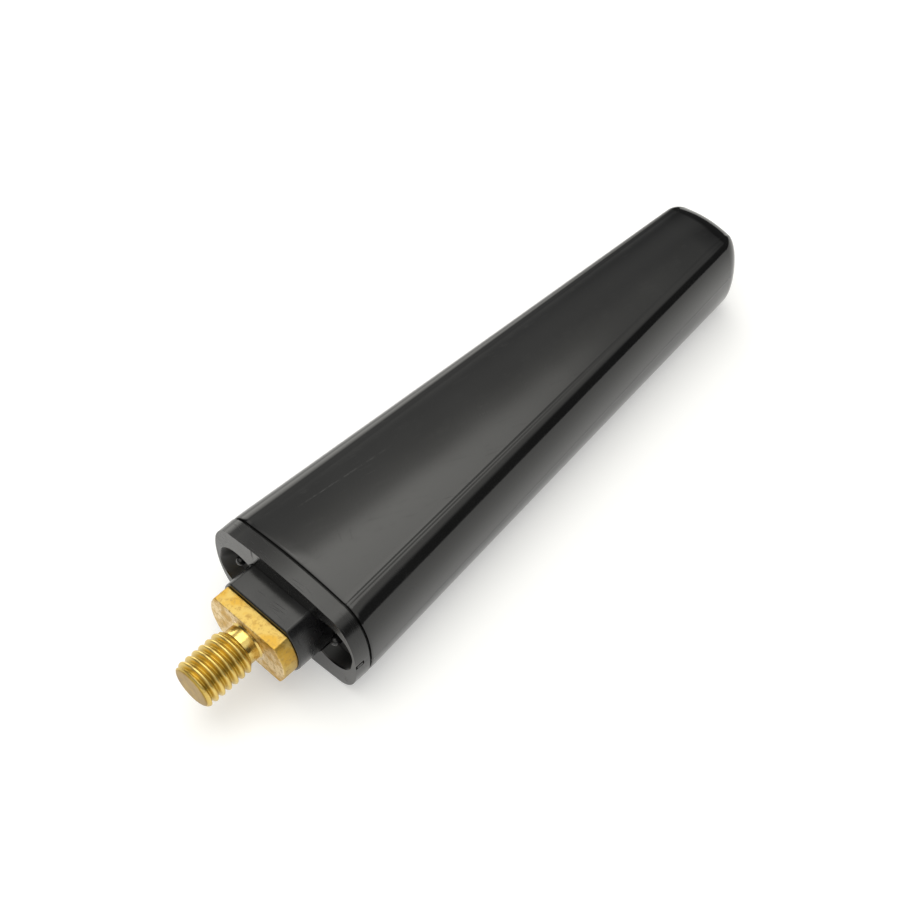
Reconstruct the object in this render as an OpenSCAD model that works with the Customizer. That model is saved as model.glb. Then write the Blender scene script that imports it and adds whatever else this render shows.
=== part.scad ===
// Short car mast aerial: a flattened, tapered plastic mast that screws in by a brass stud.
// The stud lies along X. Its seat, the flange's outer face, is at x = 0, and the mast runs to +X.
// Y is the mast's width and Z its thickness, so the mast lies flat on its back.

/* [Mast] */
// Length of the mast from the end cap's face to the tip
mast_len = 74.8; // [60:0.1:120]
// Width of the mast at its foot
foot_w = 23; // [21:0.1:30]
// Thickness of the mast at its foot
foot_t = 14.4; // [13:0.1:18]
// Width of the mast where its sides would meet the tip's plane
tip_w = 11.2; // [10:0.1:16]
// Thickness of the mast where its faces would meet the tip's plane
tip_t = 12.6; // [11:0.1:15]
// Radius that rounds the tip
tip_r = 3; // [1:0.1:4]
// Height that the faces are crowned by at the foot
face_crown = 0.6; // [0.1:0.05:1]
// Share of the width that the crowned face takes
face_share = 0.67; // [0.5:0.01:0.8]
// Fullness of the rounded sides, where 2 is an ellipse
side_power = 2.2; // [1.8:0.1:3]
// Wall of the mast's shell
shell_wall = 1.5; // [1:0.1:1.8]

/* [End cap] */
// Thickness of the end cap's plate
cap_t = 2.5; // [2:0.1:4]
// Width of the shadow line between cap and shell
seam_w = 0.28; // [0.1:0.01:0.4]
// Depth of the shadow line
seam_depth = 0.4; // [0.2:0.05:0.8]
// Radius of the two rounds that each slanted oval pocket in the cap's face runs between
pocket_r = 3.45; // [3:0.05:3.6]
// Distance of the pocket's first round from the middle
pocket_y = 7.3; // [6.8:0.1:7.5]
// Distance of the second round from the first across the width
pocket_out = 0.3; // [0:0.05:0.4]
// Distance of the second round from the first through the thickness
pocket_drop = 1.3; // [0:0.1:1.8]
// Amount by which the pocket's wall leans in over its depth
pocket_lean = 0.9; // [0:0.1:1.2]
// Depth of the pockets
pocket_depth = 1.7; // [0.8:0.1:1.8]
// Length of the skirt that plugs into the shell
skirt_len = 4; // [2:0.1:8]
// Wall of the skirt
skirt_wall = 1; // [0.6:0.1:1.4]
// Clearance between the skirt and the shell
skirt_gap = 0.06; // [0.02:0.01:0.2]

/* [Boss] */
// Diameter of the boss that stands out of the cap
boss_d = 12.5; // [12:0.1:14]
// Distance across the boss's two flats
boss_flats = 8.4; // [7.5:0.1:10]
// Height of the boss above the cap's face
boss_h = 3.6; // [2:0.1:6]
// Rounding of the boss's front edge
boss_edge = 0.25; // [0.05:0.05:0.5]
// Clearance of the boss in the cap's hole
boss_gap = 0.12; // [0.02:0.01:0.3]
// Thickness of the plate behind the cap
plate_t = 1.5; // [1:0.1:2.5]
// Clearance between the plate and the skirt
plate_gap = 0.1; // [0.05:0.01:0.3]
// Diameter of the hub behind the plate
hub_d = 9; // [8.6:0.1:9.5]
// Length of the hub
hub_len = 3; // [1:0.1:5]
// Diameter of the two pins that locate the cap
pin_d = 1.2; // [0.8:0.1:1.6]
// Distance of each pin from the middle
pin_y = 7.8; // [7.4:0.1:7.9]
// Height of the pins above the mid plane
pin_z = 1; // [0:0.1:1.4]
// Clearance of the pins in the cap's floor
pin_gap = 0.08; // [0.02:0.01:0.2]

/* [Stud] */
// Major diameter of the thread
thread_d = 6; // [5:0.5:6]
// Length of the stud in front of its seat
stud_len = 8.4; // [6:0.1:14]
// Diameter of the relief neck beside the seat
neck_d = 4.7; // [3.8:0.1:4.9]
// Length of the relief neck
neck_len = 1.5; // [1:0.1:2.5]
// Chamfer at the thread's end
thread_chamfer = 0.8; // [0.3:0.1:1]
// Diameter of the flange
flange_d = 12; // [11:0.1:12]
// Distance across the flange's two flats
flange_flats = 7.1; // [6.5:0.1:8]
// Thickness of the flange
flange_t = 2.2; // [1.5:0.1:4]
// Chamfer on the flange's edges
flange_edge = 0.2; // [0.05:0.05:0.4]
// Diameter of the shank inside the boss
shank_d = 5.4; // [5:0.1:6]
// Width of the shank's locking groove
groove_w = 1.2; // [0.6:0.1:2]
// Depth of the shank's locking groove
groove_depth = 0.6; // [0.2:0.1:0.8]
// Diameter of the knurled band that stops the shank from turning
knurl_d = 6.4; // [6.2:0.1:7]
// Length of the knurled band
knurl_len = 2; // [1:0.1:2.5]
// Number of teeth in the knurled band
knurl_teeth = 24; // [16:2:36]
// Diameter of the cup that holds the rod
cup_d = 7; // [6.6:0.1:7.4]
// Length of the cup beyond the hub
cup_len = 6; // [3:0.1:10]

/* [Aerial core] */
// Diameter of the glass fibre rod
rod_d = 5; // [4.4:0.1:5.2]
// Clearance of the rod in the cup
rod_gap = 0.05; // [0.02:0.01:0.1]
// Depth of the rod in the cup
rod_seat = 6; // [3:0.1:7]
// Distance from the rod's end to the mast's tip
rod_stop = 8; // [6:0.1:14]
// Diameter of the copper wire
wire_d = 0.7; // [0.4:0.05:0.8]
// Pitch of the winding
wire_pitch = 3; // [2:0.1:6]
// Length of the winding
winding_len = 44; // [20:1:44]
// Clearance between the wire and what it lies on
wire_gap = 0.05; // [0.02:0.01:0.1]
// Width of the solder on the cup
solder_w = 1.2; // [0.6:0.1:2]
// Height of the solder above the cup
solder_h = 0.5; // [0.3:0.05:0.7]
// Thickness of the heat shrink sleeve
sleeve_t = 0.3; // [0.2:0.05:0.5]
// Length of the foam collar near the tip
foam_len = 6; // [4:0.1:8]

/* [Hidden] */
$fn = 64;

face_points = 6; // steps across half of a crowned face
side_points = 9; // steps from a face's edge to the mid plane
tip_steps = 7; // rings round the tip
wire_sides = 6;
wire_steps = 14; // steps in a turn
through = 0.5; // length by which a cut passes a face
knurl_root = 0.12; // depth of the knurl's valleys below the shank's surface

seat_x = 0;
cap_x = seat_x + flange_t + boss_h;
shell_x = cap_x + cap_t;
tip_x = cap_x + mast_len;
taper_len = mast_len - cap_t;
hub_x = shell_x + plate_t;
cup_x = hub_x + hub_len;
cup_end = cup_x + cup_len;
rod_x = cup_end - rod_seat;
rod_end = tip_x - rod_stop;
winding_x = cup_end + wire_d / 2 + wire_gap;
winding_r = (rod_d + wire_d) / 2 / cos(180 / wire_steps) + wire_gap;
winding_end = winding_x + winding_len;
solder_r = winding_r + wire_d / 2 + wire_gap;
sleeve_x = cup_end + solder_w;
sleeve_r = winding_r + wire_d / 2 + wire_gap;
sleeve_end = rod_end - 1;
foam_x = sleeve_end - foam_len;
foam_end = sleeve_end;
skirt_end = shell_x + skirt_len;
skirt_a = half_w(skirt_end) - shell_wall - skirt_gap;
skirt_b = half_t(skirt_end) - shell_wall - skirt_gap;

// Half the width and half the thickness of the mast at x
function half_w(x) = (foot_w + (tip_w - foot_w) * max(0, x - shell_x) / taper_len) / 2;
function half_t(x) = (foot_t + (tip_t - foot_t) * max(0, x - shell_x) / taper_len) / 2;

// Quarter of the mast's section: the crowned face, then the rounded side down to the mid plane
function quarter(a, b) =
    let (edge_y = a * face_share, crown = face_crown * b / (foot_t / 2), edge_z = b - crown)
    concat(
        [for (i = [0 : face_points - 1])
            let (s = i / face_points) [edge_y * s, b - crown * s * s]],
        [for (i = [0 : side_points])
            let (t = 90 * i / side_points)
            [edge_y + (a - edge_y) * pow(sin(t), 2 / side_power), edge_z * pow(cos(t), 2 / side_power)]]
    );

// The whole section as points in Y and Z, clockwise from the middle of the upper face
function section(a, b) =
    let (q = quarter(a, b), n = len(q))
    concat(
        [for (i = [0 : n - 1]) q[i]],
        [for (i = [n - 2 : -1 : 0]) [q[i][0], -q[i][1]]],
        [for (i = [1 : n - 1]) [-q[i][0], -q[i][1]]],
        [for (i = [n - 2 : -1 : 1]) [-q[i][0], q[i][1]]]
    );

// A ring of the mast at x, set in by a distance
function ring(x, inset) = [for (p = section(half_w(x) - inset, half_t(x) - inset)) [x, p[0], p[1]]];

// Rings that close a tapered skin with a rounded end
function tip_rings(end_x, r, inset) =
    [for (i = [0 : tip_steps])
        let (w = 90 * i / tip_steps)
        ring(end_x - r + r * sin(w), inset + r * (1 - cos(w)))];

// Side faces between neighbouring rings of n points
function skin(rings, n) =
    [for (j = [0 : rings - 2], i = [0 : n - 1])
        [j * n + i, j * n + (i + 1) % n, (j + 1) * n + (i + 1) % n, (j + 1) * n + i]];

module along_x(x, d, len, fn = 64) {
    translate([x, 0, 0]) rotate([0, 90, 0]) cylinder(d = d, h = len, $fn = fn);
}

module plate_x(x, a, b, len) {
    translate([x, 0, 0]) rotate([90, 0, 90]) linear_extrude(height = len) polygon(section(a, b));
}

// A round bar along X with chamfered ends and two flats above and below
module double_d(x, d, flats, len, edge) {
    intersection() {
        translate([x, 0, 0]) rotate([0, 90, 0]) rotate_extrude($fn = 96)
            polygon([[0, 0], [d / 2 - edge, 0], [d / 2, edge], [d / 2, len - edge], [d / 2 - edge, len], [0, len]]);
        translate([x - through, -d, -flats / 2]) cube([len + 2 * through, 2 * d, flats]);
    }
}

// The stud's shank, whose groove and knurled band lock it in the boss
module shank() {
    groove_x = seat_x + flange_t + (cap_x - flange_t - groove_w) / 2;
    difference() {
        union() {
            along_x(seat_x + flange_t, shank_d, cup_x - flange_t);
            knurled_band();
        }
        difference() {
            along_x(groove_x, shank_d + 2 * through, groove_w);
            along_x(groove_x - through, shank_d - 2 * groove_depth, groove_w + 2 * through);
        }
    }
}

module knurled_band() {
    root_r = shank_d / 2 - knurl_root;
    tooth = [for (i = [0 : 2 * knurl_teeth - 1])
        let (a = 180 * i / knurl_teeth, r = i % 2 == 0 ? knurl_d / 2 : root_r)
        [r * cos(a), r * sin(a)]];
    translate([cap_x, 0, 0]) rotate([90, 0, 90]) linear_extrude(height = knurl_len) polygon(tooth);
}

module shell() {
    inner_end = tip_x - shell_wall - 0.5;
    outer = concat([ring(shell_x, 0)], tip_rings(tip_x, tip_r, 0));
    inner = concat([ring(shell_x, shell_wall)], tip_rings(inner_end, tip_r - 0.5, shell_wall));
    n = len(outer[0]);
    m = len(outer);
    points = concat([for (r = outer) each r], [for (r = inner) each r]);
    faces = concat(
        skin(m, n),
        [for (f = skin(m, n)) [f[3] + m * n, f[2] + m * n, f[1] + m * n, f[0] + m * n]],
        [for (i = [0 : n - 1]) [i, i + m * n, (i + 1) % n + m * n, (i + 1) % n]],
        [[for (i = [0 : n - 1]) (m - 1) * n + i]],
        [[for (i = [n - 1 : -1 : 0]) (2 * m - 1) * n + i]]
    );
    color("#26262a") polyhedron(points = points, faces = faces, convexity = 6);
}

// Slanted oval pocket, whose wall leans in towards its floor
module pocket() {
    flare = pocket_lean / pocket_depth;
    hull() for (round = [[pocket_y, 0], [pocket_y + pocket_out, -pocket_drop]])
        translate([cap_x + pocket_depth, round[0], round[1]]) rotate([0, -90, 0])
            cylinder(r1 = pocket_r - pocket_lean, r2 = pocket_r + flare * through, h = pocket_depth + through,
                $fn = 64);
}

module end_cap() {
    color("#2b2b2b") difference() {
        union() {
            plate_x(cap_x, foot_w / 2, foot_t / 2, cap_t - seam_w);
            plate_x(cap_x, foot_w / 2 - seam_depth, foot_t / 2 - seam_depth, cap_t);
            plate_x(cap_x, skirt_a, skirt_b, cap_t + skirt_len);
        }
        plate_x(shell_x, skirt_a - skirt_wall, skirt_b - skirt_wall, skirt_len + through);
        double_d(cap_x - through, boss_d + 2 * boss_gap, boss_flats + 2 * boss_gap, cap_t + 2 * through, 0.01);
        for (turn = [0, 180]) rotate([turn, 0, 0]) pocket();
        for (side = [-1, 1]) translate([0, side * pin_y, pin_z])
            along_x(cap_x, pin_d + 2 * pin_gap, cap_t + through, 32);
    }
}

// Double-D boss, the plate behind the cap, the hub and the two pins, moulded round the shank
module boss() {
    plate_a = skirt_a - skirt_wall - plate_gap;
    plate_b = skirt_b - skirt_wall - plate_gap;
    color("#1c1c1e") difference() {
        union() {
            double_d(seat_x + flange_t, boss_d, boss_flats, boss_h + cap_t, boss_edge);
            plate_x(shell_x, plate_a, plate_b, plate_t);
            along_x(shell_x, hub_d, plate_t + hub_len);
            for (side = [-1, 1]) translate([0, side * pin_y, pin_z]) {
                along_x(cap_x + pin_d / 2, pin_d, cap_t + plate_t - pin_d / 2, 32);
                translate([cap_x + pin_d / 2, 0, 0]) sphere(d = pin_d, $fn = 32);
            }
        }
        shank();
    }
}

module stud() {
    color("#c9a24a") difference() {
        union() {
            translate([seat_x, 0, 0]) rotate([0, -90, 0]) rotate_extrude($fn = 96)
                polygon([[0, -flange_t / 2], [neck_d / 2, -flange_t / 2], [neck_d / 2, neck_len],
                    [thread_d / 2, neck_len + (thread_d - neck_d) / 2], [thread_d / 2, stud_len - thread_chamfer],
                    [thread_d / 2 - thread_chamfer, stud_len], [0, stud_len]]);
            double_d(seat_x, flange_d, flange_flats, flange_t, flange_edge);
            shank();
            along_x(cup_x, cup_d, cup_len);
        }
        along_x(rod_x, rod_d + 2 * rod_gap, rod_seat + through);
    }
}

module core_rod() {
    color("#d8d2a8") along_x(rod_x, rod_d, rod_end - rod_x);
}

// Copper wire wound along the rod, from the cup to short of the rod's end
module winding() {
    turns = winding_len / wire_pitch;
    steps = floor(turns * wire_steps);
    lead = atan2(wire_pitch, 2 * PI * winding_r);
    points = [for (i = [0 : steps], j = [0 : wire_sides - 1])
        let (t = 360 * i / wire_steps, s = 360 * j / wire_sides, r = winding_r + wire_d / 2 * cos(s),
            along = wire_d / 2 * sin(s))
        [winding_x + wire_pitch * i / wire_steps + along * cos(lead),
            r * cos(t) + along * sin(lead) * sin(t), r * sin(t) - along * sin(lead) * cos(t)]];
    faces = concat(
        [for (i = [0 : steps - 1], j = [0 : wire_sides - 1])
            [i * wire_sides + j, i * wire_sides + (j + 1) % wire_sides,
                (i + 1) * wire_sides + (j + 1) % wire_sides, (i + 1) * wire_sides + j]],
        [[for (j = [wire_sides - 1 : -1 : 0]) j]],
        [[for (j = [0 : wire_sides - 1]) steps * wire_sides + j]]
    );
    color("#b87333") polyhedron(points = points, faces = faces, convexity = 10);
}

// Solder that bridges from the cup's end over the first turn
module solder_joint() {
    outer_r = cup_d / 2 + solder_h;
    color("#b8bcc0") translate([cup_end, 0, 0]) rotate([0, 90, 0]) rotate_extrude($fn = 64)
        polygon([[cup_d / 2, -solder_w], [outer_r, -solder_w / 2], [outer_r, solder_w / 3],
            [solder_r + sleeve_t, solder_w], [solder_r, solder_w], [solder_r, 0], [cup_d / 2, 0]]);
}

module heat_shrink() {
    color("#202022") difference() {
        along_x(sleeve_x, 2 * (sleeve_r + sleeve_t), sleeve_end - sleeve_x);
        along_x(sleeve_x - through, 2 * sleeve_r, sleeve_end - sleeve_x + 2 * through);
    }
}

// Foam collar that keeps the sleeved rod from knocking on the shell
module foam_collar() {
    inset = shell_wall + skirt_gap;
    color("#4a4a4c") difference() {
        plate_x(foam_x, half_w(foam_end) - inset, half_t(foam_end) - inset, foam_len);
        along_x(foam_x - through, 2 * (sleeve_r + sleeve_t), foam_len + 2 * through);
    }
}

shell();
end_cap();
boss();
stud();
core_rod();
winding();
solder_joint();
heat_shrink();
foam_collar();
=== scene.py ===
import bpy
import math
from mathutils import Matrix, Vector


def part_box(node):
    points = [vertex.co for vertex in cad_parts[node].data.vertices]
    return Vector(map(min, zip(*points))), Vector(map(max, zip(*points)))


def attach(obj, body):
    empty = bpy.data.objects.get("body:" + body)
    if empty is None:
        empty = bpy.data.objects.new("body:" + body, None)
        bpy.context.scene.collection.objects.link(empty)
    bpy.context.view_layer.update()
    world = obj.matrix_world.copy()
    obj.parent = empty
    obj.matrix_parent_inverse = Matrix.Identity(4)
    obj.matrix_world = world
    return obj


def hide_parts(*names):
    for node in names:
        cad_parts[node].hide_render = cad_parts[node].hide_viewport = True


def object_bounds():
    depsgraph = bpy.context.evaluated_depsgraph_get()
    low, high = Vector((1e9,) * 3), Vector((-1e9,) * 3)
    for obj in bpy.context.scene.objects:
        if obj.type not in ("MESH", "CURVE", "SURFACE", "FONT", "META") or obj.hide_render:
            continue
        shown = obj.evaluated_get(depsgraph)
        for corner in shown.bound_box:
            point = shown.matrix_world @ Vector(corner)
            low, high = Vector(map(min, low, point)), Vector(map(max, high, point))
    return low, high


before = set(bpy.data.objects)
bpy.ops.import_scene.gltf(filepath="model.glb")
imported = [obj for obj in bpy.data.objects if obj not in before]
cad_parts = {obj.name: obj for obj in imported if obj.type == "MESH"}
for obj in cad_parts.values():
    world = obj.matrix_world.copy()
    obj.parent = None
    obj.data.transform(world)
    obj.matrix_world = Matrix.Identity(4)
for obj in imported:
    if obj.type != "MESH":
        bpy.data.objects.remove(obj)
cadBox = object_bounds()
mm = 0.001
print("frame loaded")


# Stage: camera, light and floor
stage = {
    "cameraPlace": (-63.2 * mm, -100.4 * mm, 192.2 * mm),
    "cameraAzimuth": -43.73,    # degrees round the object
    "cameraElevation": 53.69,    # degrees above the floor
    "cameraRoll": -2.83,
    "cameraAngle": 25.36,    # field of view in degrees
    "cameraSensor": 36,
    "cameraReach": (0.01, 20),    # nearest and farthest thing that it sees
    "roomShade": 0.09,    # light between the room's lights
    "shadeTint": (0.96, 0.98, 1.0),
    "lightTint": (1.0, 0.99, 0.94),
    "roomLights": (    # what the gloss mirrors: direction, soft edge, strength
        {"lean": (0.26, 0.93, 0.25), "edge": (0.876, 1.0), "glow": 2.7},    # window
        {"lean": (-0.25, -0.17, 0.95), "edge": (0.50, 0.70), "glow": 0.97},    # ceiling
        {"lean": (0.07, 0.11, 0.99), "edge": (0.88, 0.92), "glow": 1.57},    # lamp
        {"lean": (0.36, 0.51, 0.78), "edge": (0.87, 1.13), "glow": 1.5},    # wall above the window
    ),
    "floorColour": (0.70, 0.70, 0.695, 1),
    "floorLift": 0.36,    # what the floor's own paleness adds to its picture
    "floorSize": 12,
    "softboxSize": 0.3,
    "softboxPlace": (0.36, 0.25, 0.80),
    "softboxAim": (0.035, 0, 0),
    "softboxPower": 0.3,
}


def clearSelection():
    if bpy.context.object and bpy.context.object.mode != "OBJECT":
        bpy.ops.object.mode_set(mode="OBJECT")
    bpy.ops.object.select_all(action="DESELECT")


def pickOnly(piece):
    clearSelection()
    piece.select_set(True)
    bpy.context.view_layer.objects.active = piece


def addCamera():
    azimuth = math.radians(stage["cameraAzimuth"])
    elevation = math.radians(stage["cameraElevation"])
    roll = math.radians(stage["cameraRoll"])
    flat = math.cos(elevation)
    back = Vector((math.sin(azimuth) * flat, -math.cos(azimuth) * flat, math.sin(elevation)))
    level = Vector((math.cos(azimuth), math.sin(azimuth), 0))
    upright = back.cross(level)
    right = level * math.cos(roll) + upright * math.sin(roll)
    up = upright * math.cos(roll) - level * math.sin(roll)
    clearSelection()
    bpy.ops.object.camera_add()
    camera = bpy.context.object
    turn = Matrix((right, up, back)).transposed().to_4x4()
    camera.matrix_world = Matrix.Translation(stage["cameraPlace"]) @ turn
    camera.data.sensor_width = stage["cameraSensor"]
    camera.data.angle = math.radians(stage["cameraAngle"])
    camera.data.clip_start, camera.data.clip_end = stage["cameraReach"]
    bpy.context.scene.camera = camera


def addNode(tree, kind, spot, sockets=None, **settings):    # a socket gets a value or another node's output
    node = tree.nodes.new(kind)
    node.location = spot
    for key, value in settings.items():
        setattr(node, key, value)
    for key, value in (sockets or {}).items():
        if isinstance(value, bpy.types.NodeSocket):
            tree.links.new(value, node.inputs[key])
        else:
            node.inputs[key].default_value = value
    return node


def maths(tree, spot, operation, *values):
    return addNode(tree, "ShaderNodeMath", spot, dict(enumerate(values)), operation=operation).outputs[0]


# Runs from the first end to the second while the source goes from the first limit to the second
def bandOf(tree, spot, source, limits=(0.0, 1.0), ends=(0.0, 1.0), kind="LINEAR"):
    sockets = {"Value": source, "From Min": limits[0], "From Max": limits[1], "To Min": ends[0], "To Max": ends[1]}
    return addNode(tree, "ShaderNodeMapRange", spot, sockets, interpolation_type=kind).outputs[0]


def mixColours(tree, spot, mask, first, second):    # the first is a colour or another node's output
    start = (*first, 1) if isinstance(first, tuple) else first
    return addNode(tree, "ShaderNodeMix", spot, {0: mask, 6: start, 7: (*second, 1)}, data_type="RGBA").outputs[2]


def addWorld():
    world = bpy.data.worlds.new("studio")
    bpy.context.scene.world = world
    world.use_nodes = True
    tree = world.node_tree
    tree.nodes.clear()
    place = addNode(tree, "ShaderNodeTexCoord", (-950, 0)).outputs["Generated"]
    light = stage["roomShade"]
    for row, lamp in enumerate(stage["roomLights"]):
        height = -250 * row
        lean = addNode(tree, "ShaderNodeVectorMath", (-700, height),
                       {0: place, 1: Vector(lamp["lean"]).normalized()}, operation="DOT_PRODUCT").outputs["Value"]
        patch = bandOf(tree, (-500, height), lean, lamp["edge"], (0.0, lamp["glow"]), "SMOOTHSTEP")
        light = maths(tree, (-250, height), "ADD", patch, light)
    tint = mixColours(tree, (-50, 200), light, stage["shadeTint"], stage["lightTint"])
    glow = addNode(tree, "ShaderNodeBackground", (150, 0), {"Color": tint, "Strength": light})
    addNode(tree, "ShaderNodeOutputWorld", (350, 0), {"Surface": glow.outputs[0]})


def addSoftbox():
    clearSelection()
    bpy.ops.object.light_add(type="AREA", location=stage["softboxPlace"])
    softbox = bpy.context.object
    softbox.name = "softbox"
    softbox.data.shape = "SQUARE"
    softbox.data.size = stage["softboxSize"]
    softbox.data.energy = stage["softboxPower"]
    softbox.visible_glossy = False    # the world's own lamp is what the gloss mirrors
    aim = Vector(stage["softboxAim"]) - Vector(stage["softboxPlace"])
    softbox.rotation_euler = aim.to_track_quat("-Z", "Y").to_euler()


def addFloor():
    clearSelection()
    bpy.ops.mesh.primitive_plane_add(size=stage["floorSize"], location=(0, 0, cadBox[0].z))
    floor = bpy.context.object
    floor.name = "floor"
    material = bpy.data.materials.new("paleFloor")
    material.use_nodes = True
    tree = material.node_tree
    tree.nodes.clear()
    paint = addNode(tree, "ShaderNodeBsdfDiffuse", (-300, 100), {"Color": stage["floorColour"]}).outputs[0]
    glow = addNode(tree, "ShaderNodeEmission", (-500, -100), {"Strength": stage["floorLift"]}).outputs[0]
    lift = addNode(tree, "ShaderNodeAddShader", (-100, 0), {0: paint, 1: glow}).outputs[0]
    path = addNode(tree, "ShaderNodeLightPath", (-500, 400)).outputs
    mirrored = maths(tree, (-300, 500), "MAXIMUM", path["Is Glossy Ray"], path["Is Transmission Ray"])
    seen = maths(tree, (-100, 400), "MAXIMUM", path["Is Camera Ray"], mirrored)
    mix = addNode(tree, "ShaderNodeMixShader", (100, 100), {0: seen, 1: paint, 2: lift}).outputs[0]
    addNode(tree, "ShaderNodeOutputMaterial", (300, 100), {"Surface": mix})
    floor.data.materials.append(material)


addCamera()
addWorld()
addSoftbox()
addFloor()
bpy.context.scene.view_settings.view_transform = "Standard"
print("stage ready")


# Shared surface effects, each a node group that several materials place with their own values
def newGroup(name, outputs, **values):    # each value that a material may set comes with its default
    group = bpy.data.node_groups.new(name, "ShaderNodeTree")
    for title, value in {"Vector": (0, 0, 0), **values}.items():
        kind = "NodeSocketVector" if isinstance(value, tuple) else "NodeSocketFloat"
        group.interface.new_socket(title, in_out="INPUT", socket_type=kind).default_value = value
    for title in outputs:
        group.interface.new_socket(title, in_out="OUTPUT", socket_type="NodeSocketFloat")
    return group, addNode(group, "NodeGroupInput", (-1200, 0)).outputs


def closeGroup(group, **results):
    addNode(group, "NodeGroupOutput", (900, 0), results)
    return group


def splitAxes(group, vector):
    return addNode(group, "ShaderNodeSeparateXYZ", (-950, 0), {0: vector}).outputs


def distanceFromAxis(group, axes):
    flat = addNode(group, "ShaderNodeCombineXYZ", (-780, -200), {"X": axes["Y"], "Y": axes["Z"]}).outputs[0]
    return addNode(group, "ShaderNodeVectorMath", (-600, -200), {0: flat}, operation="LENGTH").outputs["Value"]


scratches = {
    "strands": ((0.0, 0.0), (0.14, 31.0), (-0.10, 77.0)),    # further turn and seed of each set of hairlines
    "lineBand": (0.80, 0.86), "breakScale": 0.05, "breakBand": (0.55, 0.68),
}


def hairline(group, enter, height, extraTurn, seed):
    turn = maths(group, (-1000, height), "ADD", enter["Turn"], extraTurn)
    spin = addNode(group, "ShaderNodeVectorRotate", (-820, height),
                   {"Vector": enter["Vector"], "Angle": turn}, rotation_type="Z_AXIS").outputs[0]
    sized = addNode(group, "ShaderNodeVectorMath", (-640, height),
                    {0: spin, "Scale": enter["Scale"]}, operation="SCALE").outputs[0]
    across = addNode(group, "ShaderNodeSeparateXYZ", (-460, height), {0: sized}).outputs["Y"]
    offset = maths(group, (-360, height - 120), "ADD", across, seed)
    lines = addNode(group, "ShaderNodeTexNoise", (-280, height),
                    {"W": offset, "Scale": 1.0, "Detail": 0.0}, noise_dimensions="1D").outputs["Fac"]
    breaks = addNode(group, "ShaderNodeTexNoise", (-280, height - 220),
                     {"Vector": sized, "Scale": scratches["breakScale"], "Detail": 1.0}).outputs["Fac"]
    line = bandOf(group, (-100, height), lines, scratches["lineBand"])
    kept = bandOf(group, (-100, height - 220), breaks, scratches["breakBand"])
    return maths(group, (100, height), "MULTIPLY", line, kept)


def fineScratchGroup():
    group, enter = newGroup("fineScratches", ["Mask"], Scale=8000.0, Turn=0.2)
    mask = 0.0
    for row, (extraTurn, seed) in enumerate(scratches["strands"]):
        height = -400 * row
        mask = maths(group, (350, height), "MAXIMUM", hairline(group, enter, height, extraTurn, seed), mask)
    return closeGroup(group, Mask=mask)


def scoredLineGroup():
    group, enter = newGroup("scoredLine", ["Mask"], Direction=(0, 0, 1), Offset=0.0, Width=0.1 * mm)
    lean = addNode(group, "ShaderNodeVectorMath", (-400, 0),
                   {0: enter["Vector"], 1: enter["Direction"]}, operation="DOT_PRODUCT").outputs["Value"]
    away = maths(group, (-200, 0), "SUBTRACT", lean, enter["Offset"])
    near = maths(group, (0, 0), "ABSOLUTE", away)
    return closeGroup(group, Mask=bandOf(group, (200, 0), near, (0.0, enter["Width"]), (1.0, 0.0), "SMOOTHSTEP"))


def strokeGroup():    # one broken stroke, a box of two units each way whose edges fade
    stroke = {"fade": (0.6, 1.0), "breakScale": 9.0, "breakBand": (0.4, 0.6), "breakEnds": (0.15, 1.0)}
    group, enter = newGroup("brokenStroke", ["Mask"])
    axes = splitAxes(group, enter["Vector"])
    breaks = addNode(group, "ShaderNodeTexNoise", (-700, -700),
                     {"W": axes["X"], "Scale": stroke["breakScale"], "Detail": 2.0}, noise_dimensions="1D")
    mask = bandOf(group, (-500, -700), breaks.outputs["Fac"], stroke["breakBand"], stroke["breakEnds"])
    for row, axis in enumerate("XYZ"):
        size = maths(group, (-700, -200 * row), "ABSOLUTE", axes[axis])
        soft = bandOf(group, (-500, -200 * row), size, stroke["fade"], (1.0, 0.0))
        mask = maths(group, (-200 + 180 * row, -200), "MULTIPLY", mask, soft)
    return closeGroup(group, Mask=mask)


def hollowGroup():    # one round hollow, an upright drum of two units each way
    hollow = {"rimFade": (0.96, 1.0), "depthFade": (0.9, 1.0)}
    group, enter = newGroup("roughHollow", ["Mask"])
    axes = splitAxes(group, enter["Vector"])
    depth = maths(group, (-600, 100), "ABSOLUTE", axes["X"])
    inRim = bandOf(group, (-400, -200), distanceFromAxis(group, axes), hollow["rimFade"], (1.0, 0.0))
    inDepth = bandOf(group, (-400, 100), depth, hollow["depthFade"], (1.0, 0.0))
    return closeGroup(group, Mask=maths(group, (-200, 0), "MULTIPLY", inRim, inDepth))


def dustGroup():
    speckFade = (0.05, 0.12)    # in cells from a speck's middle
    group, enter = newGroup("dustSpecks", ["Mask"], Scale=350.0, Share=0.06)
    cells = addNode(group, "ShaderNodeTexVoronoi", (-700, 0),
                    {"Vector": enter["Vector"], "Scale": enter["Scale"]}).outputs
    chance = addNode(group, "ShaderNodeSeparateColor", (-400, -300), {0: cells["Color"]}).outputs[0]
    few = maths(group, (-150, -300), "LESS_THAN", chance, enter["Share"])
    dot = bandOf(group, (-400, 0), cells["Distance"], speckFade, (1.0, 0.0))
    return closeGroup(group, Mask=maths(group, (150, 0), "MULTIPLY", dot, few))


def mottleGroup():
    group, enter = newGroup("mottle", ["Mask"], Scale=90.0, Low=0.35, High=0.7, Detail=4.0)
    noise = addNode(group, "ShaderNodeTexNoise", (-600, 0), {
        "Vector": enter["Vector"], "Scale": enter["Scale"], "Detail": enter["Detail"], "Roughness": 0.55})
    return closeGroup(group, Mask=bandOf(group, (-200, 0), noise.outputs["Fac"], (enter["Low"], enter["High"])))


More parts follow.
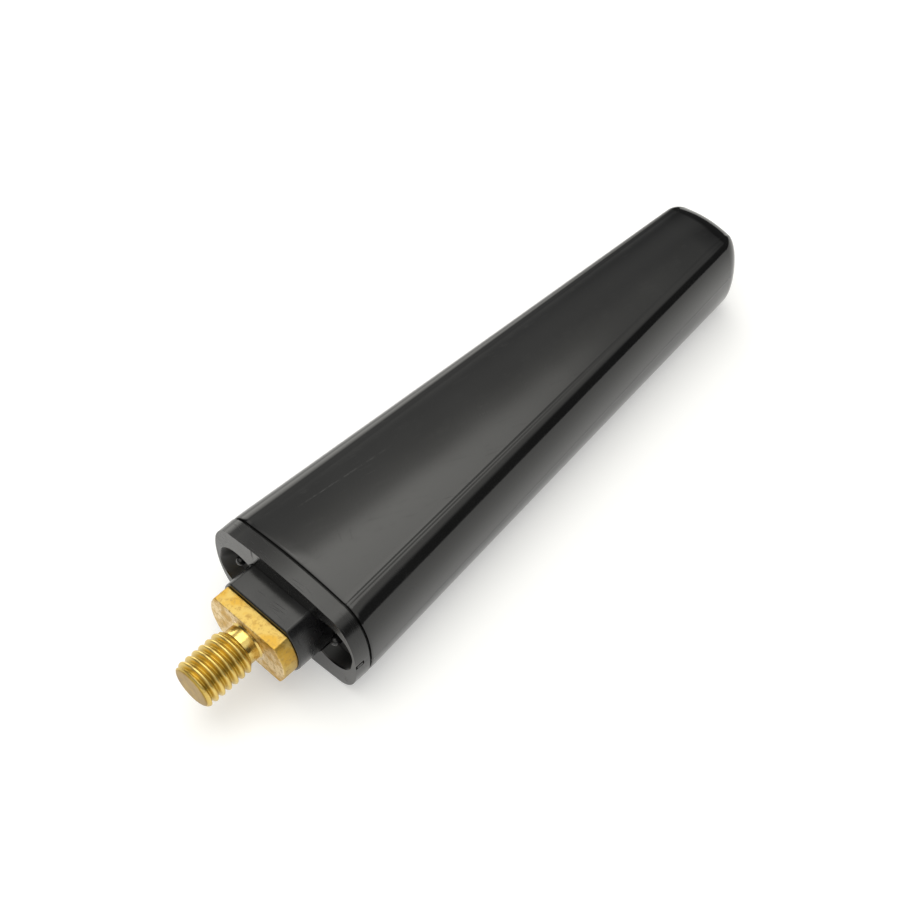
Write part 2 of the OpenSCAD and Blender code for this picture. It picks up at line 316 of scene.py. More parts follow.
def turningGroup():
    group, enter = newGroup("turningMarks", ["Height"], Spacing=0.08 * mm)
    axes = splitAxes(group, enter["Vector"])
    travel = maths(group, (-350, 0), "ADD", axes["X"], distanceFromAxis(group, axes))
    turns = maths(group, (-150, 0), "DIVIDE", travel, enter["Spacing"])
    noise = addNode(group, "ShaderNodeTexNoise", (50, 0),
                    {"W": turns, "Scale": 1.0, "Detail": 3.0}, noise_dimensions="1D").outputs["Fac"]
    return closeGroup(group, Height=noise)


scratchTree = fineScratchGroup()
dustTree = dustGroup()
mottleTree = mottleGroup()
turningTree = turningGroup()
lineTree = scoredLineGroup()
strokeTree = strokeGroup()
hollowTree = hollowGroup()


def placeGroup(tree, group, spot, place, **values):
    return addNode(tree, "ShaderNodeGroup", spot, {"Vector": place, **values}, node_tree=group).outputs


def mottled(tree, spot, place, scale, band, detail=4.0):
    return placeGroup(tree, mottleTree, spot, place, Scale=scale, Low=band[0], High=band[1], Detail=detail)["Mask"]


def scratched(tree, spot, place, look):
    return placeGroup(tree, scratchTree, spot, place, Scale=look["scratchScale"], Turn=look["scratchTurn"])["Mask"]


def maskIn(tree, group, spot, place, area):    # lays the group's box or drum over one area of the piece
    inside = addNode(tree, "ShaderNodeMapping", (spot[0] - 200, spot[1]), {
        "Vector": place, "Location": area["middle"], "Rotation": (0, 0, math.radians(area["turn"])),
        "Scale": area["size"]}, vector_type="TEXTURE").outputs[0]
    return placeGroup(tree, group, spot, inside)["Mask"]


def mixValues(tree, spot, mask, first, second):
    return addNode(tree, "ShaderNodeMix", spot, {0: mask, 2: first, 3: second}, data_type="FLOAT").outputs[0]


def bump(tree, spot, height, distance, normal=None):
    node = addNode(tree, "ShaderNodeBump", spot, {"Height": height, "Distance": distance})
    if normal:
        tree.links.new(normal, node.inputs["Normal"])
    return node.outputs[0]


def startMaterial(name):
    material = bpy.data.materials.new(name)
    material.use_nodes = True
    tree = material.node_tree
    tree.nodes.clear()
    return material, tree, addNode(tree, "ShaderNodeTexCoord", (-1200, 0)).outputs["Object"]


def addShader(tree, sockets):
    shader = addNode(tree, "ShaderNodeBsdfPrincipled", (700, 0), sockets)
    addNode(tree, "ShaderNodeOutputMaterial", (1000, 0), {"Surface": shader.outputs[0]})


def mouldedPlastic(name, look):
    material, tree, place = startMaterial(name)
    cloud = mottled(tree, (-900, 200), place, look["cloudScale"], look["cloudBand"])
    scratch = scratched(tree, (-900, -100), place, look)
    dust = placeGroup(tree, dustTree, (-900, -400), place,
                      Scale=look["dustScale"], Share=look["dustShare"])["Mask"]
    colour = mixColours(tree, (-500, 300), cloud, look["colour"], look["cloudColour"])
    colour = mixColours(tree, (-200, 300), dust, colour, look["dustColour"])
    polish = bandOf(tree, (-500, 0), cloud, ends=(look["roughness"], look["cloudRoughness"]))
    rough = maths(tree, (-200, 0), "MULTIPLY_ADD", scratch, look["scratchRoughness"], polish)
    for row, hollow in enumerate(look["hollows"]):
        mask = maskIn(tree, hollowTree, (-700, -2600 - 300 * row), place, hollow)
        rough = mixValues(tree, (180 * row, 0), mask, rough, hollow["roughness"])
    sink = mottled(tree, (-900, -700), place, look["sinkScale"], look["sinkBand"], look["sinkDetail"])
    normal = bump(tree, (-200, -600), sink, look["sinkDepth"])
    normal = bump(tree, (100, -400), scratch, -look["scratchDepth"], normal)
    for row, line in enumerate(look["lines"]):
        mask = placeGroup(tree, lineTree, (-200, -900 - 250 * row), place,
                          Direction=line["lean"], Offset=line["offset"], Width=line["width"])["Mask"]
        normal = bump(tree, (300 + 200 * row, -600), mask, line["height"], normal)
    for row, stroke in enumerate(look["strokes"]):
        mask = maskIn(tree, strokeTree, (-200, -1500 - 250 * row), place, stroke)
        normal = bump(tree, (700 + 200 * row, -600), mask, stroke["height"], normal)
    addShader(tree, {"IOR": look["index"], "Base Color": colour, "Roughness": rough, "Normal": normal})
    return material


shellLook = {
    "colour": (0.004, 0.004, 0.004), "cloudColour": (0.006, 0.006, 0.006), "dustColour": (0.16, 0.16, 0.17),
    "roughness": 0.08, "cloudRoughness": 0.13, "cloudScale": 90.0, "cloudBand": (0.3, 0.72),
    "scratchScale": 9000.0, "scratchTurn": 0.3, "scratchDepth": 0.0015 * mm, "scratchRoughness": 0.15,
    "dustScale": 320.0, "dustShare": 0.035, "index": 1.5,
    "sinkScale": 60.0, "sinkBand": (0.2, 0.8), "sinkDetail": 1.0, "sinkDepth": 0.04 * mm,
    "hollows": (),
    "lines": (    # the mould's parting line, and the ridge beside the upper face
        {"lean": (-0.028, 0, 1), "offset": -1.75 * mm, "width": 0.12 * mm, "height": 0.04 * mm},
        {"lean": (0.0655, -1, 0), "offset": 8.71 * mm, "width": 0.34 * mm, "height": 0.04 * mm},
    ),
    "strokes": (
        {"middle": (20 * mm, 4.3 * mm, 6.8 * mm), "turn": -7.2, "size": (7.8 * mm, 0.05 * mm, 2 * mm),
         "height": -0.006 * mm},
        {"middle": (14 * mm, -1.2 * mm, 6.8 * mm), "turn": 62.0, "size": (1.1 * mm, 0.03 * mm, 2 * mm),
         "height": -0.004 * mm},
        {"middle": (15 * mm, -2.0 * mm, 6.8 * mm), "turn": 58.0, "size": (0.9 * mm, 0.03 * mm, 2 * mm),
         "height": -0.004 * mm},
    ),
}
capLook = dict(
    shellLook, roughness=0.12, cloudRoughness=0.30, sinkScale=170.0, sinkDepth=0.05 * mm, dustShare=0.02,
    scratchScale=7000.0, scratchTurn=math.radians(90), scratchDepth=0.003 * mm, scratchRoughness=0.4,
    lines=(), strokes=(), hollows=tuple(
        {"middle": (6.95 * mm, side * 7.45 * mm, side * -0.65 * mm), "turn": 0.0,
         "size": (1.05 * mm, 3.75 * mm, 4.3 * mm), "roughness": 0.42} for side in (1, -1)))
bossLook = dict(
    shellLook, cloudColour=(0.007, 0.007, 0.008), roughness=0.18, cloudRoughness=0.32, cloudScale=260.0,
    sinkScale=160.0, sinkDepth=0.03 * mm, dustShare=0.03,
    scratchScale=7000.0, scratchTurn=math.radians(85), scratchDepth=0.002 * mm, scratchRoughness=0.3,
    lines=(), strokes=())


def brassZoneGroup():
    faceFade = (0.04 * mm, 0.12 * mm)
    group, enter = newGroup(
        "brassZones", ["Grime", "Neck", "End", "Flange", "Front"],
        Root=2.50 * mm, Crest=2.85 * mm, Shoulder=-1.5 * mm, Tip=-8.3 * mm, Face=-0.02 * mm)
    axes = splitAxes(group, enter["Vector"])
    radius = distanceFromAxis(group, axes)
    deep = bandOf(group, (-400, -200), radius, (enter["Root"], enter["Crest"]), (1.0, 0.0))
    ahead = maths(group, (-400, 100), "LESS_THAN", axes["X"], enter["Shoulder"])
    behind = maths(group, (-200, 200), "SUBTRACT", 1.0, ahead)
    slim = maths(group, (-400, 300), "LESS_THAN", radius, enter["Crest"])
    flange = maths(group, (-400, -700), "GREATER_THAN", axes["X"], enter["Face"])
    face = bandOf(group, (-400, -900), axes["X"], faceFade, (1.0, 0.0))
    return closeGroup(
        group, Flange=flange,
        # painted shade: the thread's grooves, below the crest radius, are coloured darker
        Grime=maths(group, (-100, 0), "MULTIPLY", ahead, deep),
        Neck=maths(group, (0, 300), "MULTIPLY", behind, slim),
        # the thread's end face, which is coloured darker as painted shade
        End=maths(group, (-400, -500), "LESS_THAN", axes["X"], enter["Tip"]),
        # the flange's front face, which is coloured paler as a painted reflection
        Front=maths(group, (-100, -800), "MULTIPLY", flange, face))


def brassMaterial():
    look = {
        "bright": (0.76, 0.57, 0.19), "dull": (0.62, 0.44, 0.12), "dullScale": 420.0, "dullBand": (0.35, 0.65),
        # painted shade: a darker brown for the thread's grooves
        # painted shade: the thread's end face is coloured darker, with a mottled stain darker still
        "rootGrime": (0.52, 0.36, 0.07), "end": (0.42, 0.27, 0.03), "endShadeAndStain": (0.24, 0.13, 0.01),
        # painted reflection: the flange's front face is coloured paler
        "flange": (0.58, 0.41, 0.12), "front": (0.76, 0.60, 0.34),
        "orange": (0.56, 0.34, 0.06), "orangeScale": 460.0, "orangeBand": (0.47, 0.60), "orangeDetail": 7.0,
        "speck": (0.42, 0.26, 0.07), "speckScale": 2400.0, "speckBand": (0.50, 0.70),
        "roughness": 0.33, "flangeRoughness": 0.44, "neckRoughness": 0.14,
        "turningSpacing": 0.07 * mm, "turningDepth": 0.004 * mm,
        "stippleScale": 2600.0, "stippleBand": (0.3, 0.7), "stippleDetail": 2.0, "stippleDepth": 0.006 * mm,
        "scratchScale": 6000.0, "scratchTurn": 0.9, "scratchDepth": 0.006 * mm,
    }
    material, tree, place = startMaterial("turnedBrass")
    zones = placeGroup(tree, brassZoneGroup(), (-1200, -250), place)
    flange = zones["Flange"]
    dull = mottled(tree, (-900, 500), place, look["dullScale"], look["dullBand"])
    orange = mottled(tree, (-900, 250), place, look["orangeScale"], look["orangeBand"], look["orangeDetail"])
    speck = mottled(tree, (-900, 0), place, look["speckScale"], look["speckBand"])
    scratch = scratched(tree, (-900, -250), place, look)
    turning = placeGroup(tree, turningTree, (-900, -550), place, Spacing=look["turningSpacing"])["Height"]
    stipple = mottled(tree, (-900, -750), place, look["stippleScale"], look["stippleBand"], look["stippleDetail"])
    colour = mixColours(tree, (-600, 500), dull, look["bright"], look["dull"])
    layers = (    # from the first laid to the last
        # painted shade colours the thread's grooves darker
        (zones["Grime"], "rootGrime"), (zones["End"], "end"),
        # painted shade on the end face, mottled darker still as a stain
        (maths(tree, (-500, 300), "MULTIPLY", dull, zones["End"]), "endShadeAndStain"),
        # painted reflection: the flange's front face is coloured paler
        (flange, "flange"), (zones["Front"], "front"),
        (maths(tree, (100, 300), "MULTIPLY", orange, flange), "orange"),
        (maths(tree, (300, 300), "MULTIPLY", speck, flange), "speck"),
    )
    for row, (mask, name) in enumerate(layers):
        colour = mixColours(tree, (-400 + 150 * row, 500), mask, colour, look[name])
    satin = bandOf(tree, (-300, 100), flange, ends=(look["roughness"], look["flangeRoughness"]))
    polish = mixValues(tree, (0, 100), zones["Neck"], satin, look["neckRoughness"])
    normal = bump(tree, (-200, -500), turning, look["turningDepth"])
    normal = bump(tree, (100, -500), stipple, look["stippleDepth"], normal)
    marks = maths(tree, (100, -300), "MULTIPLY", scratch, flange)
    normal = bump(tree, (400, -500), marks, -look["scratchDepth"], normal)
    addShader(tree, {"Metallic": 1.0, "Base Color": colour, "Roughness": polish, "Normal": normal})
    return material


def plainStuff(name, look):
    cloudBand, cloudDetail = (0.3, 0.7), 5.0
    material, tree, place = startMaterial(name)
    cloud = mottled(tree, (-900, 200), place, look["scale"], cloudBand, cloudDetail)
    addShader(tree, {
        "Metallic": look["metallic"],
        "Base Color": mixColours(tree, (-300, 300), cloud, look["colour"], look["cloudColour"]),
        "Roughness": bandOf(tree, (-300, 0), cloud, ends=(look["roughness"], look["cloudRoughness"])),
        "Normal": bump(tree, (-300, -300), cloud, look["grainDepth"])})
    return material


innerLooks = {
    "core_rod": {
        "colour": (0.66, 0.62, 0.40), "cloudColour": (0.58, 0.52, 0.30), "metallic": 0.0,
        "roughness": 0.35, "cloudRoughness": 0.5, "scale": 500.0, "grainDepth": 0.01 * mm},
    "winding": {
        "colour": (0.72, 0.30, 0.13), "cloudColour": (0.55, 0.20, 0.08), "metallic": 1.0,
        "roughness": 0.22, "cloudRoughness": 0.32, "scale": 700.0, "grainDepth": 0.004 * mm},
    "solder_joint": {
        "colour": (0.62, 0.63, 0.64), "cloudColour": (0.45, 0.45, 0.46), "metallic": 1.0,
        "roughness": 0.25, "cloudRoughness": 0.5, "scale": 900.0, "grainDepth": 0.02 * mm},
    "heat_shrink": {
        "colour": (0.018, 0.018, 0.018), "cloudColour": (0.03, 0.03, 0.03), "metallic": 0.0,
        "roughness": 0.5, "cloudRoughness": 0.65, "scale": 600.0, "grainDepth": 0.02 * mm},
    "foam_collar": {
        "colour": (0.06, 0.06, 0.065), "cloudColour": (0.02, 0.02, 0.02), "metallic": 0.0,
        "roughness": 0.9, "cloudRoughness": 1.0, "scale": 2500.0, "grainDepth": 0.15 * mm},
}
for nodeName, look in innerLooks.items():
    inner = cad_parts[nodeName]
    inner.data.materials.clear()
    inner.data.materials.append(plainStuff(nodeName + "Finish", look))
print("materials ready")


# The mast's section, the same crowned faces and rounded sides as the solid's
mast = {
    "tipWidth": 11.2 * mm, "tipThickness": 12.6 * mm, "tipRadius": 3 * mm,
    "faceCrown": 0.6 * mm, "faceShare": 0.67, "sidePower": 2.2,
    "wall": 1.5 * mm, "footEdge": 0.16 * mm, "edgeAngle": 60,
    "footDraw": 0.05 * mm, "footDrawLength": 1.6 * mm,    # the mould shrinks the foot's edge a little inwards
    "faceSteps": 16, "sideSteps": 26, "drawSteps": 4, "lengthSteps": 24, "tipSteps": 14,
    "tipRings": (0.75, 0.6, 0.4),    # each ring of the closed tip against the one before
    "footX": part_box("shell")[0].x, "tipX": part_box("shell")[1].x,
    "footWidth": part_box("shell")[1].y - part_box("shell")[0].y,
    "footThickness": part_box("shell")[1].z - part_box("shell")[0].z,
}
through = 0.5 * mm    # how far a cutter stands past what it cuts
alongX = (0, math.pi / 2, 0)    # turns what is added upright to lie along the mast
smoothAngle = math.radians(35)
normalWeight = 80


def sectionOutline(halfWidth, halfThick):
    crown = mast["faceCrown"] * halfThick / (mast["footThickness"] / 2)
    edgeY, edgeZ = halfWidth * mast["faceShare"], halfThick - crown
    quarter = []
    for step in range(mast["faceSteps"]):
        share = step / mast["faceSteps"]
        quarter.append((edgeY * share, halfThick - crown * share * share))
    for step in range(mast["sideSteps"] + 1):
        angle = math.pi / 2 * step / mast["sideSteps"]
        reach = math.sin(angle) ** (2 / mast["sidePower"])
        drop = max(0.0, math.cos(angle)) ** (2 / mast["sidePower"])
        quarter.append((edgeY + (halfWidth - edgeY) * reach, edgeZ * drop))
    lower = [(y, -z) for y, z in reversed(quarter[:-1])]
    left = [(-y, -z) for y, z in quarter[1:]]
    upper = [(-y, z) for y, z in reversed(quarter[1:-1])]
    return quarter + lower + left + upper


def mastHalves(x):
    along = max(0.0, x - mast["footX"]) / (mast["tipX"] - mast["footX"])
    width = mast["footWidth"] + (mast["tipWidth"] - mast["footWidth"]) * along
    thick = mast["footThickness"] + (mast["tipThickness"] - mast["footThickness"]) * along
    return width / 2, thick / 2


def settlePiece(name):    # names the object just added and applies its place, turn and size
    piece = bpy.context.object
    piece.name = name
    piece.data.name = name
    bpy.ops.object.transform_apply(location=True, rotation=True, scale=True)
    return piece


def roundLoop(name, points, radius, x, place=(0, 0)):
    clearSelection()
    bpy.ops.mesh.primitive_circle_add(vertices=points, radius=radius, location=(x, *place), rotation=alongX)
    return settlePiece(name)


def fillLoop():
    bpy.ops.object.mode_set(mode="EDIT")
    bpy.ops.mesh.select_all(action="SELECT")
    bpy.ops.mesh.edge_face_add()


def closeMesh():
    bpy.ops.mesh.select_all(action="SELECT")
    bpy.ops.mesh.normals_make_consistent(inside=False)
    bpy.ops.object.mode_set(mode="OBJECT")


def outlineFace(name, x, halfWidth, halfThick):
    outline = sectionOutline(halfWidth, halfThick)
    piece = roundLoop(name, len(outline), halfWidth, x)
    for vertex, (y, z) in zip(piece.data.vertices, outline):
        vertex.co = (x, y, z)
    fillLoop()
    return piece


def extrudeLoop(x, step, widthRatio, thickRatio, place=(0, 0)):
    bpy.ops.mesh.extrude_region_move(TRANSFORM_OT_translate={"value": (step, 0, 0)})
    bpy.ops.transform.resize(value=(1, widthRatio, thickRatio), center_override=(x + step, *place))


def applyModifier(piece, kind, **settings):
    pickOnly(piece)
    modifier = piece.modifiers.new(kind.lower(), kind)
    for key, value in settings.items():
        setattr(modifier, key, value)
    bpy.ops.object.modifier_apply(modifier=modifier.name)


def bevelEdges(piece, width, segments, degrees):    # of the edges sharper than that angle
    applyModifier(piece, "BEVEL", width=width, segments=segments,
                  limit_method="ANGLE", angle_limit=math.radians(degrees))


def smoothPiece(piece, weighted=True):
    pickOnly(piece)
    bpy.ops.object.shade_smooth_by_angle(angle=smoothAngle)
    if weighted:
        applyModifier(piece, "WEIGHTED_NORMAL", keep_sharp=True, weight=normalWeight)


def finishPiece(piece, material, node):
    piece.data.materials.clear()
    piece.data.materials.append(material)
    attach(piece, "root")
    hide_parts(node)


def cutWith(piece, cutter):
    applyModifier(piece, "BOOLEAN", operation="DIFFERENCE", object=cutter, solver="EXACT")
    bpy.data.objects.remove(cutter, do_unlink=True)


def mastLoft(name, x, tipX, tipRadius, wall, draw):
    stations = []
    for step in range(1, mast["drawSteps"] + 1):
        share = step / mast["drawSteps"]
        stations.append((mast["footX"] + mast["footDrawLength"] * share, draw * (1 - share) ** 2))
    drawEnd, straightEnd = stations[-1][0], tipX - tipRadius
    for step in range(1, mast["lengthSteps"] + 1):
        stations.append((drawEnd + (straightEnd - drawEnd) * step / mast["lengthSteps"], 0.0))
    for step in range(1, mast["tipSteps"] + 1):
        angle = math.pi / 2 * step / mast["tipSteps"]
        stations.append((straightEnd + tipRadius * math.sin(angle), tipRadius * (1 - math.cos(angle))))
    halfWidth, halfThick = (half - wall - draw for half in mastHalves(x))
    piece = outlineFace(name, x, halfWidth, halfThick)
    for nextX, inset in stations:
        wide, thick = (half - wall - inset for half in mastHalves(nextX))
        extrudeLoop(x, nextX - x, wide / halfWidth, thick / halfThick)
        x, halfWidth, halfThick = nextX, wide, thick
    for shrink in mast["tipRings"]:
        extrudeLoop(x, 0, shrink, shrink)
    bpy.ops.mesh.merge(type="CENTER")
    closeMesh()
    return piece


def makeShell():
    footX, tipX, tipRadius, wall = (mast[key] for key in ("footX", "tipX", "tipRadius", "wall"))
    piece = mastLoft("mastShell", footX, tipX, tipRadius, 0, mast["footDraw"])
    cutWith(piece, mastLoft("cutter", footX - through, tipX - wall, tipRadius - wall, wall, 0))
    bevelEdges(piece, mast["footEdge"], 2, mast["edgeAngle"])
    smoothPiece(piece, weighted=False)
    return piece


finishPiece(makeShell(), mouldedPlastic("glossBlackShell", shellLook), "shell")
print("shell made")


# The end cap: plate, seam, skirt, two slanted oval pockets and the two-flat hole
cap = {
    "faceX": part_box("end_cap")[0].x, "plate": 2.5 * mm, "seam": 0.34 * mm, "seamDepth": 0.4 * mm,
    "edge": 0.14 * mm, "edgeAngle": 50,
    "pocketRadius": 3.45 * mm, "pocketPlace": (7.3 * mm, 0), "pocketRun": (0.3 * mm, -1.3 * mm),
    "pocketDepth": 1.7 * mm, "pocketLean": 0.9 * mm, "pocketPoints": 80,
    "gatePlace": (6.45 * mm, -11.42 * mm, -0.1 * mm), "gateSize": (1.25 * mm, 0.35 * mm, 0.65 * mm),
    "nubPlace": (6.45 * mm, -11.36 * mm, -0.1 * mm), "nubSize": (0.85 * mm, 0.34 * mm, 0.32 * mm),
    "skirtLength": 4 * mm, "skirtWall": 1 * mm, "skirtGap": 0.06 * mm,
    "pinPlace": 7.8 * mm, "pinHeight": 1 * mm, "pinRadius": 0.6 * mm, "pinGap": 0.08 * mm, "pinPoints": 32,
    "bossRadius": 6.25 * mm, "bossFlats": 8.4 * mm, "bossGap": 0.12 * mm, "roundPoints": 96,
}


def roundBar(name, x, length, radius, place=(0, 0), points=cap["roundPoints"]):
    clearSelection()
    bpy.ops.mesh.primitive_cylinder_add(vertices=points, radius=radius, depth=length,
                                        location=(x + length / 2, *place), rotation=alongX)
    return settlePiece(name)


def turnedBar(name, points, stations, place=(0, 0)):
    x, radius = stations[0]
    piece = roundLoop(name, points, radius, x, place)
    fillLoop()
    for nextX, nextRadius in stations[1:]:
        extrudeLoop(x, nextX - x, nextRadius / radius, nextRadius / radius, place)
        x, radius = nextX, nextRadius
    closeMesh()
    return piece


def cutFlats(piece, flats):
    pickOnly(piece)
    bpy.ops.object.mode_set(mode="EDIT")
    for side in (1, -1):
        bpy.ops.mesh.select_all(action="SELECT")
        bpy.ops.mesh.bisect(plane_co=(0, 0, side * flats / 2), plane_no=(0, 0, side),
                            use_fill=True, clear_outer=True)
    bpy.ops.object.mode_set(mode="OBJECT")


def sectionBar(name, x, halfWidth, halfThick, length):
    piece = outlineFace(name, x, halfWidth, halfThick)
    bpy.ops.mesh.extrude_region_move(TRANSFORM_OT_translate={"value": (length, 0, 0)})
    closeMesh()
    return piece


def uniteWith(piece, others, name):
    for other in others:
        applyModifier(piece, "BOOLEAN", operation="UNION", object=other, solver="EXACT")
        bpy.data.objects.remove(other, do_unlink=True)
    piece.name = name
    piece.data.name = name
    return piece


def makePocket(side):
    x, depth, radius, lean = cap["faceX"], cap["pocketDepth"], cap["pocketRadius"], cap["pocketLean"]
    stations = [(x - through, radius + lean / depth * through), (x + depth, radius - lean)]
    piece = turnedBar("cutter", cap["pocketPoints"], stations, cap["pocketPlace"])
    run = Vector((0, *cap["pocketRun"]))
    for vertex in piece.data.vertices:
        across = vertex.co.yz - Vector(cap["pocketPlace"])
        if across.dot(run.yz) > 0:
            vertex.co += run
        vertex.co.yz *= side    # the other pocket is the same one turned half round
    return piece


def gateBlock(place, size, edge):
    clearSelection()
    bpy.ops.mesh.primitive_cube_add(size=1, location=place, scale=size)
    block = settlePiece("cutter")
    if edge:
        applyModifier(block, "BEVEL", width=edge, segments=2)
    return block


def makeEndCap():
    x, plateEnd = cap["faceX"], cap["faceX"] + cap["plate"]
    halfWidth, halfThick = mastHalves(mast["footX"])
    skirtWide, skirtThick = mastHalves(plateEnd + cap["skirtLength"])
    inset = mast["wall"] + cap["skirtGap"]
    skirtWide, skirtThick = skirtWide - inset, skirtThick - inset
    piece = outlineFace("endCap", x, halfWidth, halfThick)
    bpy.ops.mesh.extrude_region_move(TRANSFORM_OT_translate={"value": (cap["plate"] - cap["seam"], 0, 0)})
    shrinkWide, shrinkThick = halfWidth - cap["seamDepth"], halfThick - cap["seamDepth"]
    extrudeLoop(plateEnd - cap["seam"], 0, shrinkWide / halfWidth, shrinkThick / halfThick)
    extrudeLoop(plateEnd - cap["seam"], cap["seam"], 1, 1)
    extrudeLoop(plateEnd, 0, skirtWide / shrinkWide, skirtThick / shrinkThick)
    extrudeLoop(plateEnd, cap["skirtLength"], 1, 1)
    closeMesh()
    cutWith(piece, sectionBar("cutter", plateEnd, skirtWide - cap["skirtWall"], skirtThick - cap["skirtWall"],
                              cap["skirtLength"] + through))
    hole = roundBar("cutter", x - through, cap["plate"] + 2 * through, cap["bossRadius"] + cap["bossGap"])
    cutFlats(hole, cap["bossFlats"] + 2 * cap["bossGap"])
    cutWith(piece, hole)
    for side in (-1, 1):
        cutWith(piece, makePocket(side))
        cutWith(piece, roundBar("cutter", x, cap["plate"] + through, cap["pinRadius"] + cap["pinGap"],
                                (side * cap["pinPlace"], cap["pinHeight"]), cap["pinPoints"]))
    cutWith(piece, gateBlock(cap["gatePlace"], cap["gateSize"], 0))
    bevelEdges(piece, cap["edge"], 3, cap["edgeAngle"])
    uniteWith(piece, [gateBlock(cap["nubPlace"], cap["nubSize"], cap["edge"] / 3)], "endCap")
    smoothPiece(piece)
    return piece


finishPiece(makeEndCap(), mouldedPlastic("glossBlackCap", capLook), "end_cap")
print("end cap made")


# The brass stud: turned neck, threaded end, two-flat flange, knurled shank and cup
stud = {
    "endX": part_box("stud")[0].x, "neckRadius": 2.35 * mm, "neckLength": 1.5 * mm, "neckFillet": 0.2 * mm,
    "crestRadius": 2.96 * mm, "rootRadius": 2.50 * mm, "pitch": 0.98 * mm, "crestFullness": 1.35,
    "chamfer": 0.75 * mm, "endDrop": 0.75 * mm, "runOutSlope": 1.0, "crestX": -7.47 * mm, "crestAngle": 29.0,
    "roundSteps": 128, "lengthSteps": (84, 3),    # lengthwise it is divided twice
    "flangeRadius": 6 * mm, "flangeFlats": 7.1 * mm, "flangeLength": 2.2 * mm, "flangeEdge": 0.15 * mm,
    "flangePoints": 160, "edgeAngle": 25,
    "shankRadius": 2.7 * mm, "grooveDepth": 0.6 * mm, "grooveLength": 1.2 * mm,
    "knurlRadius": 3.2 * mm, "knurlRoot": 0.12 * mm, "knurlLength": 2 * mm, "knurlTeeth": 24,
    "cupX": 12.8 * mm, "cupRadius": 3.5 * mm, "cupLength": 6 * mm, "cupEdge": 0.1 * mm, "boreRadius": 2.55 * mm,
}
hairsBreadth = 0.01 * mm
lengthwiseSlope = 0.1    # the most that a lengthwise edge may lean


def threadRadius(x, angle):
    turns = (x - stud["crestX"]) / stud["pitch"] - (angle - math.radians(stud["crestAngle"])) / (2 * math.pi)
    fromCrest = abs((turns + 0.5) % 1.0 - 0.5)    # 0 on a crest, 0.5 in a root
    flank = (0.5 - 0.5 * math.cos(2 * math.pi * fromCrest)) ** stud["crestFullness"]
    radius = stud["crestRadius"] + (stud["rootRadius"] - stud["crestRadius"]) * flank
    depth = min(1.0, (x - stud["endX"]) / stud["chamfer"])    # the end is turned to a blunt dome
    dome = stud["crestRadius"] - stud["endDrop"] * (1 - math.sqrt(max(0.0, 1 - (1 - depth) ** 2)))
    runOut = stud["neckRadius"] + max(0.0, -stud["neckLength"] - x) * stud["runOutSlope"]
    fillet = stud["neckRadius"] + max(0.0, stud["neckFillet"] + x)
    if x > -stud["neckLength"]:
        return fillet
    return min(radius, dome, runOut)


def selectLengthwise(piece, height=None):
    bpy.ops.object.mode_set(mode="EDIT")
    bpy.ops.mesh.select_mode(type="EDGE")
    bpy.ops.mesh.select_all(action="DESELECT")
    bpy.ops.object.mode_set(mode="OBJECT")
    for edge in piece.data.edges:
        first, second = (piece.data.vertices[index].co for index in edge.vertices)
        near = height is None or abs(abs(first.z) - height) < hairsBreadth
        edge.select = near and (first - second).yz.length < lengthwiseSlope * abs(first.x - second.x)


def makeThread():
    piece = roundBar("studThread", stud["endX"], -stud["endX"], stud["crestRadius"], points=stud["roundSteps"])
    for steps in stud["lengthSteps"]:
        selectLengthwise(piece)
        bpy.ops.object.mode_set(mode="EDIT")
        bpy.ops.mesh.subdivide(number_cuts=steps - 1)
        bpy.ops.object.mode_set(mode="OBJECT")
    for vertex in piece.data.vertices:
        x, y, z = vertex.co
        angle = math.atan2(z, y)
        radius = threadRadius(x, angle)
        vertex.co = (x, radius * math.cos(angle), radius * math.sin(angle))
    return piece


def makeFlange():
    piece = roundBar("studFlange", 0, stud["flangeLength"], stud["flangeRadius"], points=stud["flangePoints"])
    cutFlats(piece, stud["flangeFlats"])
    bevelEdges(piece, stud["flangeEdge"], 3, stud["edgeAngle"])
    return piece


def makeShank(spare=0):
    start = stud["flangeLength"]
    radius, low = stud["shankRadius"], stud["shankRadius"] - stud["grooveDepth"]
    grooveX = start + (cap["faceX"] - start - stud["grooveLength"]) / 2
    grooveEnd, knurlX = grooveX + stud["grooveLength"], cap["faceX"]
    knurlEnd = knurlX + stud["knurlLength"]
    piece = turnedBar("studShank", 2 * stud["knurlTeeth"], [
        (start - spare, radius), (grooveX, radius), (grooveX, low), (grooveEnd, low), (grooveEnd, radius),
        (knurlX, radius), (knurlX, stud["knurlRadius"]), (knurlEnd, stud["knurlRadius"]), (knurlEnd, radius),
        (stud["cupX"] + spare, radius)])
    shrink = (radius - stud["knurlRoot"]) / stud["knurlRadius"]    # of every other line, so that it is a valley
    for vertex in piece.data.vertices:
        x, y, z = vertex.co
        line = round(math.atan2(z, y) / math.pi * stud["knurlTeeth"])
        if line % 2 and math.hypot(y, z) > radius + hairsBreadth:
            vertex.co = (x, y * shrink, z * shrink)
    return piece


def makeCup():
    x, end, edge = stud["cupX"], stud["cupX"] + stud["cupLength"], stud["cupEdge"]
    return turnedBar("studCup", cap["roundPoints"], [
        (x, stud["cupRadius"] - edge), (x + edge, stud["cupRadius"]), (end - edge, stud["cupRadius"]),
        (end, stud["cupRadius"] - edge), (end, stud["boreRadius"]), (x + edge, stud["boreRadius"])])


def makeStud():
    piece = uniteWith(makeThread(), [makeFlange(), makeShank(), makeCup()], "brassStud")
    smoothPiece(piece)
    return piece


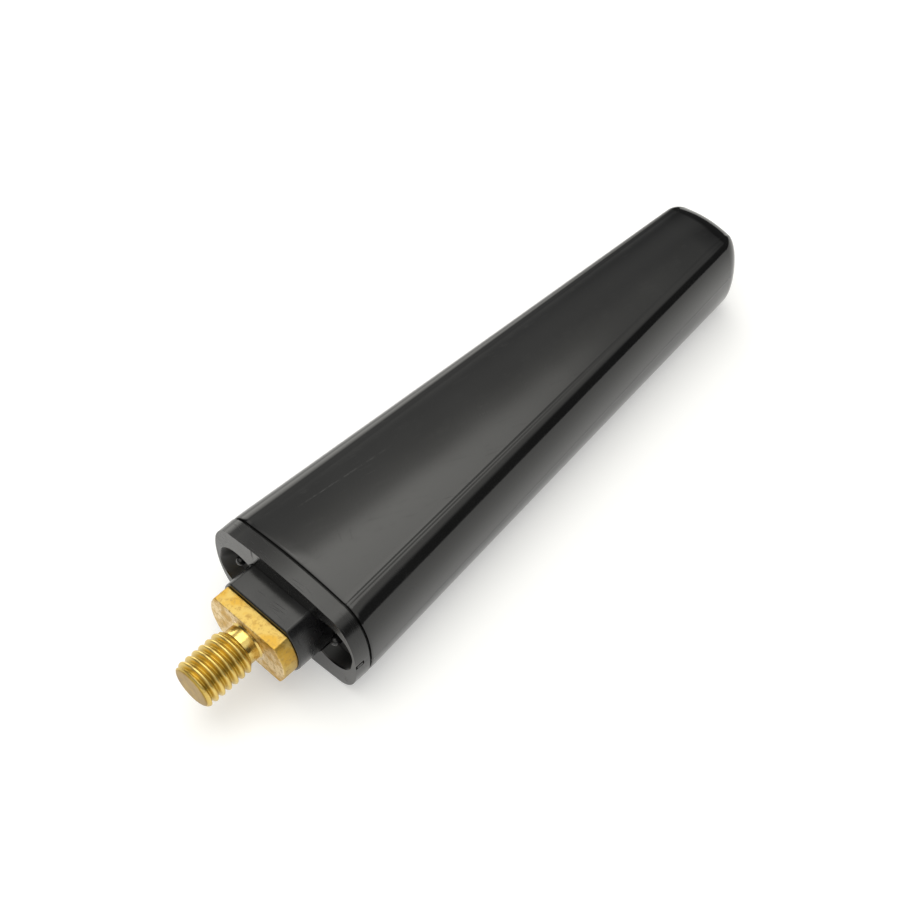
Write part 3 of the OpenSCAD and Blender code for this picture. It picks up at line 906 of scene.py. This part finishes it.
finishPiece(makeStud(), brassMaterial(), "stud")
print("stud made")


# The boss: two-flat bar, plate, hub and two domed pins, moulded round the stud's shank
boss = {
    "startX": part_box("boss")[0].x, "plate": 1.5 * mm, "plateGap": 0.1 * mm,
    "hubRadius": 4.5 * mm, "hubLength": 3 * mm,
    "edge": 0.3 * mm, "edgeAngle": 25, "flatFillet": 1.3 * mm, "filletSteps": 10,
    "barPoints": 160, "pinPoints": 40, "domeSteps": 6,
    "domeTip": 0.02,    # the flat at a pin's tip against the pin's radius
}


def makePin(side):
    x, radius = cap["faceX"], cap["pinRadius"]
    stations = []
    for step in range(boss["domeSteps"] + 1):
        angle = math.pi / 2 * step / boss["domeSteps"]
        stations.append((x + radius * (1 - math.cos(angle)), radius * max(math.sin(angle), boss["domeTip"])))
    stations.append((x + cap["plate"] + boss["plate"] / 2, radius))
    return turnedBar("bossPin", boss["pinPoints"], stations, (side * cap["pinPlace"], cap["pinHeight"]))


def makeBoss():
    plateX = cap["faceX"] + cap["plate"]
    bar = roundBar("bossBar", boss["startX"], plateX - boss["startX"], cap["bossRadius"], points=boss["barPoints"])
    cutFlats(bar, cap["bossFlats"])
    selectLengthwise(bar, cap["bossFlats"] / 2)
    bpy.ops.object.mode_set(mode="EDIT")
    bpy.ops.mesh.bevel(offset=boss["flatFillet"], segments=boss["filletSteps"])
    bpy.ops.object.mode_set(mode="OBJECT")
    bevelEdges(bar, boss["edge"], 3, boss["edgeAngle"])
    halfWidth, halfThick = mastHalves(plateX + cap["skirtLength"])
    inset = mast["wall"] + cap["skirtGap"] + cap["skirtWall"] + boss["plateGap"]
    plate = sectionBar("bossPlate", plateX, halfWidth - inset, halfThick - inset, boss["plate"])
    hub = roundBar("bossHub", plateX + boss["plate"], boss["hubLength"], boss["hubRadius"])
    piece = uniteWith(bar, [plate, hub, makePin(-1), makePin(1)], "bossMoulding")
    cutWith(piece, makeShank(through))
    smoothPiece(piece)
    return piece


finishPiece(makeBoss(), mouldedPlastic("blackBoss", bossLook), "boss")
print("boss made")
